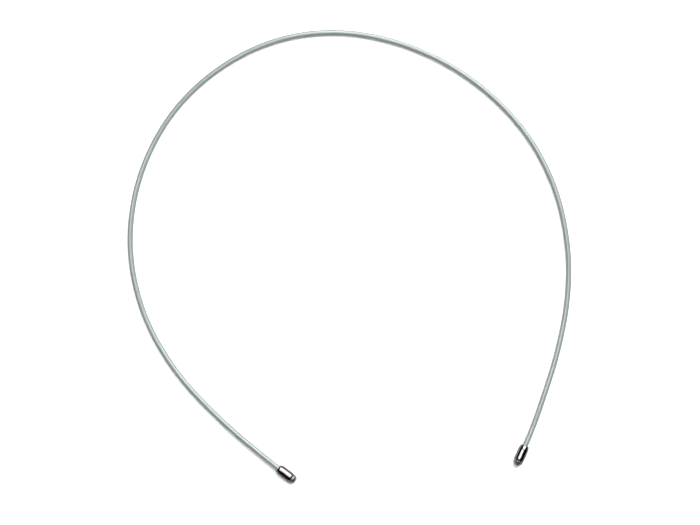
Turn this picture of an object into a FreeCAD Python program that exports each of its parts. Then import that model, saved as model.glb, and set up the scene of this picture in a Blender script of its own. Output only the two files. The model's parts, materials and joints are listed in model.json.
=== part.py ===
import FreeCAD, Part

import math
import os

import Sketcher

# The flexible cable of an interchangeable circular knitting needle. A clear nylon cord lies on
# a table in an open loop. Each of its ends is held in a plated metal connector, which is a
# sleeve, a grip ring hidden inside it and a domed bush with a tapped hole for a needle tip.
# Frame: +X to the right, +Y to the closed top of the loop, +Z up, the table at Z = 0, and the
# origin under the middle of the loop. Millimetres.
# A connector is drawn along its own +Z, from its cord side at 0 to the mouth of its tapped hole.

DIMENSIONS = {
    "cord_diameter": 2.2,
    "connector_diameter": 3.8,
    "connector_length": 8.1,
    "sleeve_length": 6.2,  # the bush's dome covers the rest of the connector
    "neck_length": 1.0,  # the sleeve's narrow end, which the cord passes through
    "neck_gap": 0.05,  # radial room between that neck and the cord
    "nose_length": 1.8,  # the sleeve narrows over this length toward the cord
    "nose_drop": 0.45,  # by this much in radius
    "nose_radius": 3.825,  # along an arc that starts tangent to the sleeve's side
    "nose_edge_round": 0.25,
    "sleeve_bore": 3.0,
    "end_taper": 0.5,  # the sleeve narrows again over this length toward the bush
    "end_drop": 0.2,  # by this much in radius
    "bush_bevel": 0.1,
    "dome_radius": 2.8,
    "dome_end_diameter": 2.1,
    "grip_ring_length": 1.8,
    "mouth_bevel": 2.0,  # outer diameter of the bevel at the mouth of the tapped hole
}
THREAD_TYPE, THREAD_SIZE = "ISOMetricProfile", "M2x0.4"
MOUTH_BEVEL_ANGLE = 90  # degrees, from one side of the bevel to the other

# The cord's route, from its end in the left connector to its end in the right one, each point
# chosen by hand. The first and last two lie on a connector's axis, and the lowest height is
# that of the cord lying on the table.
ROUTE = [
    (-24.5, -82.0, 1.9),
    (-36.7, -72.6, 1.9),
    (-51.8, -59.3, 1.2),
    (-66.7, -43.2, 1.1),
    (-78.9, -21.5, 1.1),
    (-84.1, 4.0, 1.1),
    (-80.6, 29.9, 1.1),
    (-68.8, 53.9, 1.1),
    (-50.4, 71.9, 1.1),
    (-27.0, 83.5, 1.1),
    (-1.5, 86.2, 1.1),
    (24.6, 80.2, 1.1),
    (47.6, 67.7, 1.1),
    (66.8, 49.2, 1.1),
    (78.9, 27.1, 1.1),
    (83.9, 3.5, 1.1),
    (83.5, -17.0, 1.1),
    (79.4, -37.1, 1.1),
    (74.2, -53.1, 1.2),
    (69.8, -65.6, 1.9),
    (65.9, -74.3, 1.9),
]
ARC_SHARE = 0.45  # the part of the shorter run beside a point that its arc takes
VOLUME_TOLERANCE = 0.001  # largest allowed difference between the cord and section x length
SAME_PLACE = 1e-6  # two lengths closer than this are the same

# How a sketch numbers its own origin and axes, and the points of one of its sides.
ORIGIN, RADIUS_AXIS, HEIGHT_AXIS = -1, -1, -2
START, END, CENTRE = 1, 2, 3


class Size:
    """A length worked out from driving dimensions, both as a number and as a sheet formula."""

    def __init__(self, value, formula):
        self.value, self.formula = value, formula

    def __add__(self, other):
        return Size(self.value + other.value, f"{self.formula} + {other.formula}")

    def __sub__(self, other):
        return Size(self.value - other.value, f"{self.formula} - ({other.formula})")

    def half(self):
        return Size(self.value / 2, f"({self.formula}) / 2")


ZERO = Size(0.0, "0")


def make_sheet(document):
    sheet = document.addObject("Spreadsheet::Sheet", "dims")
    for row, (alias, value) in enumerate(DIMENSIONS.items(), start=1):
        sheet.set(f"A{row}", alias)
        sheet.set(f"B{row}", str(value))
        sheet.setAlias(f"B{row}", alias)
    return {alias: Size(value, f"dims.{alias}") for alias, value in DIMENSIONS.items()}


def new_sketch(body, name, role):
    """A sketch on one of the body's own origin planes, such as XZ_Plane."""
    sketch = body.newObject("Sketcher::SketchObject", name)
    plane = next(item for item in body.Origin.OriginFeatures if item.Role == role)
    sketch.AttachmentSupport = (plane, [""])
    sketch.MapMode = "FlatFace"
    return sketch


def tie(sketch, kind, geometry, size, name):
    """Give a sketch a named dimension that follows the sheet."""
    number = sketch.addConstraint(Sketcher.Constraint(kind, *geometry, size.value))
    sketch.renameConstraint(number, name)
    sketch.setExpression(f"Constraints.{name}", size.formula)


def bulge(first, last, radius):
    """The middle of the arc of the given radius that bulges to the right between two points."""
    way = last - first
    rise = radius - math.sqrt(radius ** 2 - (way.Length / 2) ** 2)
    right = FreeCAD.Vector(way.y, -way.x, 0).normalize()
    return (first + last) / 2 + right * rise


def draw_outline(sketch, corners, arcs):
    """A closed outline through corners of (radius, height). Its sides are straight, except for
    those that arcs names by the number of their first corner, with the radius of their arc."""
    count = len(corners)
    points = [FreeCAD.Vector(radius.value, height.value, 0) for radius, height in corners]
    for side, (first, last) in enumerate(zip(points, points[1:] + points[:1])):
        if side in arcs:
            middle = bulge(first, last, arcs[side].value)
            sketch.addGeometry(Part.ArcOfCircle(first, middle, last))
        else:
            sketch.addGeometry(Part.LineSegment(first, last))
    for side in range(count):
        following = (side + 1) % count
        sketch.addConstraint(Sketcher.Constraint("Coincident", side, END, following, START))
    for side, (radius, height) in enumerate(corners):
        if radius is ZERO:
            sketch.addConstraint(Sketcher.Constraint("PointOnObject", side, START, HEIGHT_AXIS))
        else:
            tie(sketch, "DistanceX", (ORIGIN, START, side, START), radius, f"radius_{side}")
        if height is ZERO:
            sketch.addConstraint(Sketcher.Constraint("PointOnObject", side, START, RADIUS_AXIS))
        else:
            tie(sketch, "DistanceY", (ORIGIN, START, side, START), height, f"height_{side}")
    for side, radius in arcs.items():
        tie(sketch, "Radius", (side,), radius, f"arc_{side}")


def turned_body(document, name, corners, arcs=None):
    """A piece made on a lathe: its outline turned about the body's Z axis."""
    body = document.addObject("PartDesign::Body", name)
    body.Label = name
    sketch = new_sketch(body, f"{name}_outline", "XZ_Plane")
    draw_outline(sketch, corners, arcs or {})
    turning = body.newObject("PartDesign::Revolution", f"{name}_turning")
    turning.Profile = sketch
    turning.ReferenceAxis = (sketch, ["V_Axis"])
    turning.Angle = 360
    sketch.Visibility = False
    document.recompute()
    return body


def round_edge(document, body, radius, edge_round):
    """Round the edge of the given radius at height 0 of a turned body."""
    turning = body.Tip
    edges = [
        f"Edge{number}"
        for number, edge in enumerate(turning.Shape.Edges, start=1)
        if isinstance(edge.Curve, Part.Circle)
        and math.isclose(edge.Curve.Radius, radius.value, abs_tol=SAME_PLACE)
        and math.isclose(edge.Curve.Center.z, 0, abs_tol=SAME_PLACE)
    ]
    fillet = body.newObject("PartDesign::Fillet", f"{body.Name}_edge_round")
    fillet.Base = (turning, edges)
    fillet.setExpression("Radius", edge_round.formula)
    document.recompute()


def tap_through(document, body, height, bevel_diameter):
    """A tapped hole right through a body, from the face at the given height, with a bevel."""
    sketch = new_sketch(body, f"{body.Name}_hole_place", "XY_Plane")
    sketch.setExpression("AttachmentOffset.Base.z", height.formula)
    circle = Part.Circle(FreeCAD.Vector(), FreeCAD.Vector(0, 0, 1), bevel_diameter.value / 2)
    sketch.addGeometry(circle)
    sketch.addConstraint(Sketcher.Constraint("Coincident", 0, CENTRE, ORIGIN, START))
    tie(sketch, "Diameter", (0,), bevel_diameter, "bevel")
    hole = body.newObject("PartDesign::Hole", f"{body.Name}_tapped_hole")
    hole.Profile = sketch
    document.recompute()
    hole.ThreadType = THREAD_TYPE
    hole.ThreadSize = THREAD_SIZE
    hole.Threaded = True
    hole.DepthType = "ThroughAll"
    hole.HoleCutType = "Countersink"
    hole.HoleCutCustomValues = True
    hole.HoleCutCountersinkAngle = MOUTH_BEVEL_ANGLE
    hole.setExpression("HoleCutDiameter", bevel_diameter.formula)
    sketch.Visibility = False
    document.recompute()


def make_connector(document, size, side, place):
    """The three metal pieces at one end of the cord."""
    outer, bore = size["connector_diameter"].half(), size["sleeve_bore"].half()
    nose, dome_end = outer - size["nose_drop"], size["dome_end_diameter"].half()
    cord = size["cord_diameter"].half()
    neck = cord + size["neck_gap"]
    joint, length = size["sleeve_length"], size["connector_length"]
    ring_start = size["neck_length"]
    ring_end = ring_start + size["grip_ring_length"]

    sleeve = turned_body(document, f"{side}_sleeve", [
        (neck, ZERO),
        (nose, ZERO),
        (outer, size["nose_length"]),
        (outer, joint - size["end_taper"]),
        (outer - size["end_drop"], joint),
        (bore, joint),
        (bore, ring_start),
        (neck, ring_start),
    ], {1: size["nose_radius"]})
    round_edge(document, sleeve, nose, size["nose_edge_round"])

    ring = turned_body(document, f"{side}_grip_ring", [
        (cord, ring_start),
        (bore, ring_start),
        (bore, ring_end),
        (cord, ring_end),
    ])

    bush = turned_body(document, f"{side}_end_bush", [
        (ZERO, ring_end),
        (bore, ring_end),
        (bore, joint),
        (outer - size["bush_bevel"], joint),
        (outer, joint + size["bush_bevel"]),
        (dome_end, length),
        (ZERO, length),
    ], {4: size["dome_radius"]})
    tap_through(document, bush, length, size["mouth_bevel"])

    for body in (sleeve, ring, bush):
        body.Placement = place
    return [sleeve, ring, bush]


def connector_place(cord_end, next_point, depth):
    """Where a connector goes: its axis runs from the next point of the route out through the
    cord's end, which is the given depth inside it."""
    outward = (cord_end - next_point).normalize()
    turn = FreeCAD.Rotation(FreeCAD.Vector(0, 0, 1), outward)
    return FreeCAD.Placement(cord_end - outward * depth, turn)


def route_wire(points):
    """Straight runs joined by tangent arcs, each as large as its two runs allow."""
    edges, start = [], points[0]
    for before, corner, after in zip(points, points[1:], points[2:]):
        back, forward = before - corner, after - corner
        half_turn = (math.pi - back.getAngle(forward)) / 2
        reach = ARC_SHARE * min(back.Length, forward.Length)
        radius = reach / math.tan(half_turn)
        back.normalize()
        forward.normalize()
        arc_start, arc_end = corner + back * reach, corner + forward * reach
        to_middle = (back + forward).normalize()
        middle = corner + to_middle * (radius / math.cos(half_turn) - radius)
        edges.append(Part.LineSegment(start, arc_start).toShape())
        edges.append(Part.Arc(arc_start, middle, arc_end).toShape())
        print(f"cord bend at ({corner.x:.1f}, {corner.y:.1f}): radius {radius:.1f} mm")
        start = arc_end
    edges.append(Part.LineSegment(start, points[-1]).toShape())
    return Part.Wire(edges)


def make_cord(document, size, points):
    """The nylon cord, a round tube of one section along its route."""
    path = document.addObject("Part::Feature", "cord_path")
    path.Shape = route_wire(points)
    section = document.addObject("Part::Circle", "cord_section")
    section.setExpression("Radius", size["cord_diameter"].half().formula)
    along = (points[1] - points[0]).normalize()
    section.Placement = FreeCAD.Placement(
        points[0], FreeCAD.Rotation(FreeCAD.Vector(0, 0, 1), along))
    cord = document.addObject("Part::Sweep", "cord")
    cord.Label = "cord"
    cord.Sections = [section]
    cord.Spine = path
    cord.Solid = True
    cord.Frenet = False
    document.recompute()
    expected = math.pi * size["cord_diameter"].half().value ** 2 * path.Shape.Length
    print(f"cord length {path.Shape.Length:.1f} mm, volume {cord.Shape.Volume:.1f} mm3, "
          f"section x length {expected:.1f} mm3")
    if abs(cord.Shape.Volume / expected - 1) > VOLUME_TOLERANCE:
        raise ValueError("the cord's volume is not its section times its length")
    return cord


def check(document, pieces):
    """Stop if any object failed to compute or a piece is not one valid solid."""
    for item in document.Objects:
        if {"Invalid", "Error"} & set(item.State):
            raise ValueError(f"{item.Name} is {item.State}")
    for piece in pieces:
        shape = piece.Shape
        if shape.isNull() or not shape.isValid() or len(shape.Solids) != 1:
            raise ValueError(f"{piece.Label} is not one valid solid")


def main():
    document = FreeCAD.newDocument("needle_cable")
    size = make_sheet(document)
    document.recompute()
    points = [FreeCAD.Vector(*point) for point in ROUTE]
    depth = (size["neck_length"] + size["grip_ring_length"]).value
    pieces = [make_cord(document, size, points)]
    for side, cord_end, next_point in (
        ("left", points[0], points[1]),
        ("right", points[-1], points[-2]),
    ):
        place = connector_place(cord_end, next_point, depth)
        pieces += make_connector(document, size, side, place)
    document.recompute()
    check(document, pieces)
    os.makedirs("parts", exist_ok=True)
    for piece in pieces:
        piece.Shape.exportStep(f"parts/{piece.Label}.step")
        box = piece.Shape.BoundBox
        print(f"{piece.Label}: {piece.Shape.Volume:.2f} mm3, x {box.XMin:.2f} to {box.XMax:.2f}, "
              f"y {box.YMin:.2f} to {box.YMax:.2f}, z {box.ZMin:.3f} to {box.ZMax:.3f}")


main()
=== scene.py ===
import json
import math

import bpy
from mathutils import Matrix, Vector


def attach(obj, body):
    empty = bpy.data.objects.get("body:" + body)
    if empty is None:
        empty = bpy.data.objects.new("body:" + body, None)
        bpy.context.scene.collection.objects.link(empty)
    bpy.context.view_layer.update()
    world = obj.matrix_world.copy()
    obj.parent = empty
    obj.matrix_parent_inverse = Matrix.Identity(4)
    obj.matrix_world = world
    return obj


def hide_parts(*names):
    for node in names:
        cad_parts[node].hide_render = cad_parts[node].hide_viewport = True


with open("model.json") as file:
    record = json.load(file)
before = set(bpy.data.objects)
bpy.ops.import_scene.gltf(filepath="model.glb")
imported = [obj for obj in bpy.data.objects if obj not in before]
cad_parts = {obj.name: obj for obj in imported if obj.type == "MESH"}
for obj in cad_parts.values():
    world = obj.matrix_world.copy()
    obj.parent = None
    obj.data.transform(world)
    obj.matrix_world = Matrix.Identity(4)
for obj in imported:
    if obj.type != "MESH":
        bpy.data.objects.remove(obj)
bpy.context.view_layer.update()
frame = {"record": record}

# The flexible cable of an interchangeable circular knitting needle: a clear nylon cord in an
# open loop, with a plated metal connector on each end. Metres, in the frame of the CAD model.

MM = 0.001

# ---------------------------------------------------------------- sizes shared with the CAD

CORD_DIAMETER = 2.2 * MM
CONNECTOR_RADIUS = 1.9 * MM
CONNECTOR_LENGTH = 8.1 * MM
SLEEVE_LENGTH = 6.2 * MM
NECK_LENGTH = 1.0 * MM
NECK_RADIUS = 1.15 * MM
NOSE_LENGTH = 1.8 * MM
NOSE_RADIUS = 3.825 * MM
NOSE_EDGE_ROUND = 0.25 * MM
BORE_RADIUS = 1.5 * MM
END_TAPER = 0.5 * MM
END_DROP = 0.2 * MM
BUSH_BEVEL = 0.1 * MM
DOME_RADIUS = 2.8 * MM
DOME_END_RADIUS = 1.05 * MM
RING_LENGTH = 1.8 * MM
MOUTH_RADIUS = 1.0 * MM
THREAD_MINOR_RADIUS = 0.8 * MM
THREAD_MAJOR_RADIUS = 1.0 * MM
THREAD_PITCH = 0.4 * MM

# The cord's route, from its end in the left connector to its end in the right one.
ROUTE = [
    (-0.0245, -0.0820, 0.0019),
    (-0.0367, -0.0726, 0.0019),
    (-0.0518, -0.0593, 0.0012),
    (-0.0667, -0.0432, 0.0011),
    (-0.0789, -0.0215, 0.0011),
    (-0.0841, 0.0040, 0.0011),
    (-0.0806, 0.0299, 0.0011),
    (-0.0688, 0.0539, 0.0011),
    (-0.0504, 0.0719, 0.0011),
    (-0.0270, 0.0835, 0.0011),
    (-0.0015, 0.0862, 0.0011),
    (0.0246, 0.0802, 0.0011),
    (0.0476, 0.0677, 0.0011),
    (0.0668, 0.0492, 0.0011),
    (0.0789, 0.0271, 0.0011),
    (0.0839, 0.0035, 0.0011),
    (0.0835, -0.0170, 0.0011),
    (0.0794, -0.0371, 0.0011),
    (0.0742, -0.0531, 0.0012),
    (0.0698, -0.0656, 0.0019),
    (0.0659, -0.0743, 0.0019),
]


# ---------------------------------------------------------------- camera

CAMERA_AIM = Vector((0.0005, -0.0022, 0.0015))
CAMERA_DISTANCE = 0.739
LENS = 100.0
SENSOR_WIDTH = 36.0


def make_camera():
    """A camera straight above the loop, with the top of the picture toward +Y."""
    data = bpy.data.cameras.new("camera")
    data.lens = LENS
    data.sensor_width = SENSOR_WIDTH
    camera = bpy.data.objects.new("camera", data)
    camera.location = CAMERA_AIM + Vector((0, 0, CAMERA_DISTANCE))
    bpy.context.scene.collection.objects.link(camera)
    bpy.context.scene.camera = camera


# ---------------------------------------------------------------- cord

def make_cord():
    """The nylon cord: one smooth curve along its route, round in section."""
    curve = bpy.data.curves.new("nylon_cord", "CURVE")
    curve.dimensions = "3D"
    curve.bevel_depth = CORD_DIAMETER / 2
    curve.bevel_resolution = 10
    curve.resolution_u = 24
    curve.use_fill_caps = True
    spline = curve.splines.new("NURBS")
    spline.points.add(len(ROUTE) - 1)
    for point, place in zip(spline.points, ROUTE):
        point.co = (*place, 1.0)
    spline.order_u = 3
    spline.use_endpoint_u = True
    cord = bpy.data.objects.new("nylon_cord", curve)
    bpy.context.scene.collection.objects.link(cord)
    return cord


# ---------------------------------------------------------------- turned pieces

TURN_STEPS = 128
SHARP_ANGLE = 38  # degrees: an edge that turns more than this is shaded sharp
SAME_PLACE = 1e-9


def arc(centre, radius, start, end, steps):
    """Points of (radius, height) along an arc, from one angle to another, in degrees."""
    return [
        (centre[0] + radius * math.cos(math.radians(start + (end - start) * i / steps)),
         centre[1] + radius * math.sin(math.radians(start + (end - start) * i / steps)))
        for i in range(steps + 1)
    ]


def arc_between(first, last, radius, steps):
    """Points along the arc that bulges to the right on the way from one point to another."""
    way = (last[0] - first[0], last[1] - first[1])
    length = math.hypot(*way)
    back = math.sqrt(radius ** 2 - (length / 2) ** 2) / length
    centre = ((first[0] + last[0]) / 2 - way[1] * back, (first[1] + last[1]) / 2 + way[0] * back)
    start, end = (
        math.degrees(math.atan2(point[1] - centre[1], point[0] - centre[0]))
        for point in (first, last)
    )
    return arc(centre, radius, start, end, steps)


def dense(profile, longest):
    """The closed profile with its long sides cut into equal parts."""
    points = []
    for first, last in zip(profile, profile[1:] + profile[:1]):
        length = math.dist(first, last)
        if length < SAME_PLACE:
            continue
        parts = max(1, math.ceil(length / longest))
        points += [
            (first[0] + (last[0] - first[0]) * i / parts,
             first[1] + (last[1] - first[1]) * i / parts)
            for i in range(parts)
        ]
    return points


def turned(name, profile, place, bore=None):
    """A closed ring of a mesh, made by turning a closed profile of (radius, height) about its
    own Z. bore(radius, height, turn) gives the radius of a wall that isn't plainly round."""
    vertices, faces = [], []
    for step in range(TURN_STEPS):
        turn = 2 * math.pi * step / TURN_STEPS
        for radius, height in profile:
            r = bore(radius, height, turn) if bore else radius
            vertices.append((r * math.cos(turn), r * math.sin(turn), height))
    count = len(profile)
    for step in range(TURN_STEPS):
        here, there = step * count, (step + 1) % TURN_STEPS * count
        for i in range(count):
            j = (i + 1) % count
            faces.append((here + i, there + i, there + j, here + j))
    mesh = bpy.data.meshes.new(name)
    mesh.from_pydata(vertices, [], faces)
    mesh.update()
    mesh.shade_smooth()
    mesh.set_sharp_from_angle(angle=math.radians(SHARP_ANGLE))
    piece = bpy.data.objects.new(name, mesh)
    piece.matrix_world = place
    bpy.context.scene.collection.objects.link(piece)
    return piece


def nose():
    """The sleeve's outline at the cord: a small round edge, then a long arc that ends tangent
    to the sleeve's side."""
    long_centre = (CONNECTOR_RADIUS - NOSE_RADIUS, NOSE_LENGTH)
    between = NOSE_RADIUS - NOSE_EDGE_ROUND
    across = math.sqrt(between ** 2 - (NOSE_LENGTH - NOSE_EDGE_ROUND) ** 2)
    edge_centre = (long_centre[0] + across, NOSE_EDGE_ROUND)
    meet = math.degrees(math.atan2(NOSE_EDGE_ROUND - NOSE_LENGTH, across))
    edge = arc(edge_centre, NOSE_EDGE_ROUND, -90, meet, 8)
    return edge + arc(long_centre, NOSE_RADIUS, meet, 0, 16)[1:]


def make_sleeve(side, place):
    """The outer shell: it narrows to a nose round the cord and is bored out for the other two."""
    outer, bevel, lip = CONNECTOR_RADIUS, 0.05 * MM, 0.06 * MM
    profile = [
        (NECK_RADIUS, lip),
        (NECK_RADIUS + lip, 0),
        *nose(),
        (outer, SLEEVE_LENGTH - END_TAPER),
        (outer - END_DROP, SLEEVE_LENGTH),
        (BORE_RADIUS + bevel, SLEEVE_LENGTH),
        (BORE_RADIUS, SLEEVE_LENGTH - bevel),
        (BORE_RADIUS, NECK_LENGTH),
        (NECK_RADIUS, NECK_LENGTH),
    ]
    return turned(f"{side}_sleeve_shell", dense(profile, 0.25 * MM), place)


def make_ring(side, place):
    """The grip ring inside the sleeve, with annular teeth that bite the cord."""
    inner, tooth, teeth = CORD_DIAMETER / 2, 0.12 * MM, 6
    start, end = NECK_LENGTH, NECK_LENGTH + RING_LENGTH
    bevel = 0.08 * MM
    pitch = RING_LENGTH / teeth
    bore = []
    for i in range(teeth):
        top = end - i * pitch
        bore += [(inner, top - 0.1 * pitch), (inner + tooth, top - 0.9 * pitch)]
    profile = [
        (inner + tooth, start),
        (BORE_RADIUS - bevel, start),
        (BORE_RADIUS, start + bevel),
        (BORE_RADIUS, end - bevel),
        (BORE_RADIUS - bevel, end),
        (inner + tooth, end),
        *bore,
    ]
    return turned(f"{side}_toothed_ring", profile, place)


def thread_depth(height, turn, start, end):
    """How far the wall of the tapped hole lies outside its crests: a 60 degree groove that
    winds up the hole and fades out at both ends."""
    crest, root = 0.125, 0.25
    phase = (height / THREAD_PITCH - turn / (2 * math.pi)) % 1.0
    away = abs(phase - 0.5) * 2
    share = (away - crest) / (1 - crest - root)
    fade = min((height - start) / THREAD_PITCH, (end - height) / THREAD_PITCH, 1.0)
    return (THREAD_MAJOR_RADIUS - THREAD_MINOR_RADIUS) * min(max(share, 0), 1) * max(fade, 0)


def make_bush(side, place):
    """The domed end bush, with its tapped hole right through."""
    outer, bevel = CONNECTOR_RADIUS, 0.05 * MM
    spigot = NECK_LENGTH + RING_LENGTH
    dome_start, dome_end = SLEEVE_LENGTH + BUSH_BEVEL, CONNECTOR_LENGTH
    dome = arc_between((outer, dome_start), (DOME_END_RADIUS, dome_end), DOME_RADIUS, 24)
    mouth_depth = MOUTH_RADIUS - THREAD_MINOR_RADIUS
    wall_top, wall_bottom = CONNECTOR_LENGTH - mouth_depth, spigot + bevel
    rows = round((wall_top - wall_bottom) / (THREAD_PITCH / 12))
    wall = [
        (THREAD_MINOR_RADIUS, wall_top + (wall_bottom - wall_top) * i / rows)
        for i in range(rows + 1)
    ]
    outside = [
        (THREAD_MINOR_RADIUS + bevel, spigot),
        (BORE_RADIUS - bevel, spigot),
        (BORE_RADIUS, spigot + bevel),
        (BORE_RADIUS, SLEEVE_LENGTH),
        (outer - BUSH_BEVEL, SLEEVE_LENGTH),
        *dome,
        (MOUTH_RADIUS, CONNECTOR_LENGTH),
    ]

    def bore(radius, height, turn):
        if radius > THREAD_MINOR_RADIUS + SAME_PLACE:
            return radius
        return radius + thread_depth(height, turn, wall_bottom, wall_top)

    return turned(f"{side}_threaded_bush", outside + wall, place, bore)


def connector_place(mount):
    """The connector's own frame, from its tapped hole in the record: +Z runs out through the
    hole, and height 0 is the face that the cord comes out of."""
    outward = Vector(mount["axis"]).normalized()
    hole_start = NECK_LENGTH + RING_LENGTH
    hole_end = CONNECTOR_LENGTH - (MOUTH_RADIUS - THREAD_MINOR_RADIUS)
    hole_middle = (hole_start + hole_end) / 2
    start = Vector(mount["pos_m"]) - outward * hole_middle
    turn = outward.to_track_quat("Z", "Y").to_matrix().to_4x4()
    return Matrix.Translation(start) @ turn


# ---------------------------------------------------------------- materials

def new_material(name):
    """A material that is only a Principled shader: the material, its node tree, the shader."""
    material = bpy.data.materials.new(name)
    material.use_nodes = True
    tree = material.node_tree
    tree.nodes.clear()
    output = tree.nodes.new("ShaderNodeOutputMaterial")
    shader = tree.nodes.new("ShaderNodeBsdfPrincipled")
    tree.links.new(shader.outputs[0], output.inputs["Surface"])
    return material, tree, shader


NOISE_DETAIL = 3.0
NOISE_ROUGHNESS = 0.5


def noise(tree, vector, scale):
    node = tree.nodes.new("ShaderNodeTexNoise")
    node.inputs["Scale"].default_value = scale
    node.inputs["Detail"].default_value = NOISE_DETAIL
    node.inputs["Roughness"].default_value = NOISE_ROUGHNESS
    tree.links.new(vector, node.inputs["Vector"])
    return node.outputs["Fac"]


def spread(tree, value, low, high):
    """A number from 0 to 1 mapped to the range from low to high."""
    node = tree.nodes.new("ShaderNodeMapRange")
    node.inputs["To Min"].default_value = low
    node.inputs["To Max"].default_value = high
    tree.links.new(value, node.inputs["Value"])
    return node.outputs["Result"]


def bump(tree, shader, height, distance):
    node = tree.nodes.new("ShaderNodeBump")
    node.inputs["Distance"].default_value = distance
    node.inputs["Strength"].default_value = 1.0
    tree.links.new(height, node.inputs["Height"])
    tree.links.new(node.outputs["Normal"], shader.inputs["Normal"])


# Noise sizes are in cycles per metre, and each pair is the range of a roughness. The colours are
# darker than the real materials, to suit the overexposed white floor.
NYLON_COLOUR = (0.165, 0.195, 0.185, 1)
NYLON_TRANSMISSION = 0.25
NYLON_IOR = 1.53
NYLON_HAZE_SCALE = 900.0
NYLON_ROUGHNESS = (0.08, 0.22)
NYLON_WAVE_SCALE = 350.0
NYLON_WAVE_HEIGHT = 0.04 * MM
METAL_WEAR_SCALE = 1400.0
SLEEVE_GREY = 0.12
SLEEVE_ROUGHNESS = (0.05, 0.11)
BUSH_GREY = 0.22
BUSH_ROUGHNESS = (0.36, 0.44)
NICKEL_RIM = (0.20, 0.20, 0.19, 1)
BRASS_COLOUR = (0.78, 0.62, 0.33, 1)
BRASS_ROUGHNESS = (0.2, 0.35)


def nylon_material():
    material, tree, shader = new_material("clear_nylon")
    place = tree.nodes.new("ShaderNodeTexCoord").outputs["Object"]
    shader.inputs["Base Color"].default_value = NYLON_COLOUR
    shader.inputs["Transmission Weight"].default_value = NYLON_TRANSMISSION
    shader.inputs["IOR"].default_value = NYLON_IOR
    haze = noise(tree, place, NYLON_HAZE_SCALE)
    tree.links.new(spread(tree, haze, *NYLON_ROUGHNESS), shader.inputs["Roughness"])
    bump(tree, shader, noise(tree, place, NYLON_WAVE_SCALE), NYLON_WAVE_HEIGHT)
    return material


def nickel_material(name, grey, roughness):
    material, tree, shader = new_material(name)
    place = tree.nodes.new("ShaderNodeTexCoord").outputs["Object"]
    shader.inputs["Metallic"].default_value = 1.0
    shader.inputs["Base Color"].default_value = (grey, 0.98 * grey, 0.95 * grey, 1)
    shader.inputs["Specular Tint"].default_value = NICKEL_RIM
    wear = noise(tree, place, METAL_WEAR_SCALE)
    tree.links.new(spread(tree, wear, *roughness), shader.inputs["Roughness"])
    return material


def brass_material():
    material, tree, shader = new_material("turned_brass")
    place = tree.nodes.new("ShaderNodeTexCoord").outputs["Object"]
    shader.inputs["Metallic"].default_value = 1.0
    shader.inputs["Base Color"].default_value = BRASS_COLOUR
    wear = noise(tree, place, METAL_WEAR_SCALE)
    tree.links.new(spread(tree, wear, *BRASS_ROUGHNESS), shader.inputs["Roughness"])
    return material


# ---------------------------------------------------------------- floor and light

FLOOR_SIZE = 6.0
FLOOR_WHITE = 0.85
DARK_ROOM = (0.002, 0.002, 0.002, 1)


def make_floor():
    """A plain white floor, matt all over."""
    half = FLOOR_SIZE / 2
    mesh = bpy.data.meshes.new("floor")
    mesh.from_pydata([(-half, -half, 0), (half, -half, 0), (half, half, 0), (-half, half, 0)],
                     [], [(0, 1, 2, 3)])
    floor = bpy.data.objects.new("floor", mesh)
    bpy.context.scene.collection.objects.link(floor)
    material, _, shader = new_material("matt_white")
    shader.inputs["Base Color"].default_value = (FLOOR_WHITE, FLOOR_WHITE, FLOOR_WHITE, 1)
    shader.inputs["Roughness"].default_value = 1.0
    shader.inputs["Specular IOR Level"].default_value = 0.0
    mesh.materials.append(material)


def direction(azimuth, elevation):
    """The unit vector toward a place in the sky, given in degrees."""
    azimuth, elevation = math.radians(azimuth), math.radians(elevation)
    flat = math.cos(elevation)
    return Vector((flat * math.cos(azimuth), flat * math.sin(azimuth), math.sin(elevation)))


def softbox(name, toward, distance, width, height, radiance, upright=(0, 0, 1)):
    """A rectangular area light aimed at the object from a place in the sky, with the given
    brightness of its face. Its height runs along upright."""
    data = bpy.data.lights.new(name, "AREA")
    data.shape = "RECTANGLE"
    data.size = width
    data.size_y = height
    data.energy = radiance * math.pi * width * height
    light = bpy.data.objects.new(name, data)
    across = Vector(upright).cross(toward).normalized()
    turn = Matrix((across, toward.cross(across), toward)).transposed()
    light.matrix_world = Matrix.Translation(toward * distance) @ turn.to_4x4()
    light.visible_camera = False
    bpy.context.scene.collection.objects.link(light)


def make_lights():
    """A large soft key light, a narrow one overhead and a weak fill, in a dark room."""
    softbox("key", direction(66, 52), distance=1.5, width=1.5, height=1.5, radiance=11.5)
    softbox("strip", direction(173, 79), distance=1.5, width=0.30, height=1.35, radiance=9.0,
            upright=direction(155.85, 0))
    softbox("fill", direction(0, 90), distance=2.4, width=4.0, height=4.0, radiance=0.06,
            upright=(0, 1, 0))
    world = bpy.data.worlds.new("studio")
    world.use_nodes = True
    background = next(n for n in world.node_tree.nodes if n.type == "BACKGROUND")
    background.inputs["Color"].default_value = DARK_ROOM
    bpy.context.scene.world = world
    bpy.context.scene.view_settings.view_transform = "Standard"


# ---------------------------------------------------------------- putting it together

def set_material(piece, material):
    piece.data.materials.clear()
    piece.data.materials.append(material)


def main():
    make_camera()
    cord = make_cord()
    set_material(cord, nylon_material())
    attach(cord, "root")
    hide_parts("cord")

    nickel = nickel_material("polished_nickel", SLEEVE_GREY, SLEEVE_ROUGHNESS)
    brass = brass_material()
    satin = nickel_material("satin_nickel", BUSH_GREY, BUSH_ROUGHNESS)
    for mount in frame["record"]["mounts"]:
        side = mount["name"].split("_")[0]
        place = connector_place(mount)
        sleeve, ring, bush = make_sleeve(side, place), make_ring(side, place), make_bush(side, place)
        for piece, node, material, slot in (
            (sleeve, f"{side}_sleeve", nickel, "plated_metal"),
            (ring, f"{side}_grip_ring", brass, "ring_brass"),
            (bush, f"{side}_end_bush", satin, "plated_metal"),
        ):
            set_material(piece, material)
            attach(piece, "root")
            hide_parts(node)

    make_floor()
    make_lights()


main()
